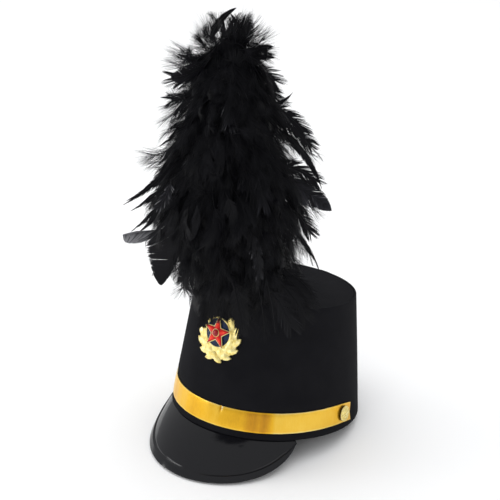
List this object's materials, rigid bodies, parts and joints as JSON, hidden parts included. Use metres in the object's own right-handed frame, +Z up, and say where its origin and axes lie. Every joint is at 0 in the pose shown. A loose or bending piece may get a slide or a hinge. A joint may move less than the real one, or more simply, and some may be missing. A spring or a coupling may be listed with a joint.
{
  "type": "marching band hat",
  "caption": "Tapered black felt shako with a glossy peak, gold strap and buttons, wreath and star badge, and a tall feather plume.",
  "frame": {"origin": "centre of the footprint's box, on the surface that the hat rests on", "axes": "+Z up, out of the plume; -Y towards the peak; +X towards the wearer's left"},
  "size_m": [0.186, 0.2336, 0.4208],
  "materials": {
    "felt": "matte black pressed felt over a stiff backing",
    "peak_plastic": "glossy black patent vinyl, moulded",
    "gold_vinyl": "metallised gold vinyl",
    "gilt_metal": "pale gilt, stamped",
    "blue_enamel": "dark blue enamel",
    "red_enamel": "red enamel over facets",
    "black_plastic": "moulded black plastic",
    "steel_wire": "drawn steel wire",
    "feather": "black dyed feathers"
  },
  "bodies": {
    "root": {"crown_side": "felt", "crown_top": "felt", "peak": "peak_plastic", "strap": "gold_vinyl", "button_left": "gilt_metal", "button_right": "gilt_metal", "badge_plate": "gilt_metal", "badge_field": "blue_enamel", "badge_star": "red_enamel", "badge_boss": "red_enamel", "plume_socket": "black_plastic", "plume_stem": "steel_wire", "plume": "feather"}
  },
  "joints": []
}
